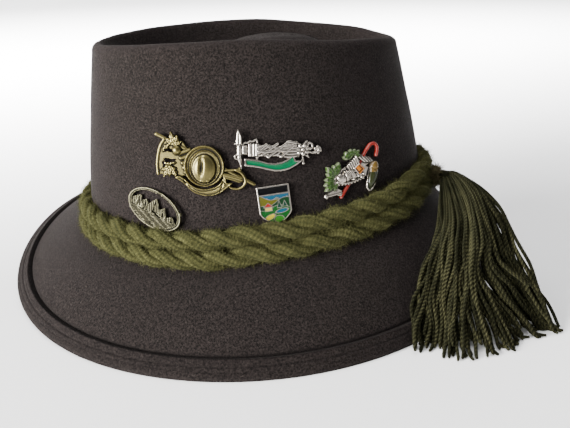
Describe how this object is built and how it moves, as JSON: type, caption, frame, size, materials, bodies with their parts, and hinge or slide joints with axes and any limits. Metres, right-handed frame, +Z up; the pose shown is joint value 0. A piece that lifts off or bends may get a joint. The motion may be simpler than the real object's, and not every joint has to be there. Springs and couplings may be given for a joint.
{
  "type": "tyrolean hat",
  "caption": "Felt hat with a dented crown and turned-down brim, twisted wool ropes round the crown, a wool tassel and metal souvenir pins.",
  "frame": {"origin": "middle of the underside of the whole, on the surface that the hat lies on", "axes": "+Z up, -X towards the front of the hat, -Y towards the wearer's left, where the pins are"},
  "size_m": [0.2872, 0.2856, 0.1376],
  "materials": {
    "felt": "heathered dark brown wool felt",
    "rope_wool": "olive twisted wool yarn",
    "binding_wool": "wound wool yarn",
    "tassel_wool": "loose two-ply wool yarn",
    "brass": "antiqued cast brass",
    "pewter": "dull antiqued casting",
    "silver": "silver plate darkened in its hollows",
    "green_enamel": "glossy enamel",
    "black_enamel": "glossy enamel",
    "scene_enamel": "glossy enamel in several colours",
    "red_enamel": "glossy enamel",
    "orange_enamel": "glossy enamel",
    "leaf_enamel": "thin green enamel over metal",
    "tan_enamel": "thin tan enamel over metal"
  },
  "bodies": {
    "root": {"felt_body": "felt", "rope_lower": "rope_wool", "rope_upper": "rope_wool", "tassel_binding": "binding_wool", "tassel": "tassel_wool", "pin_brass_hat": "brass", "pin_ice_axe": "silver", "pin_ice_axe_ribbon": "green_enamel", "pin_badge": "pewter", "pin_shield": "silver", "pin_shield_header": "black_enamel", "pin_shield_scene": "scene_enamel", "pin_boot": "silver"}
  },
  "joints": []
}
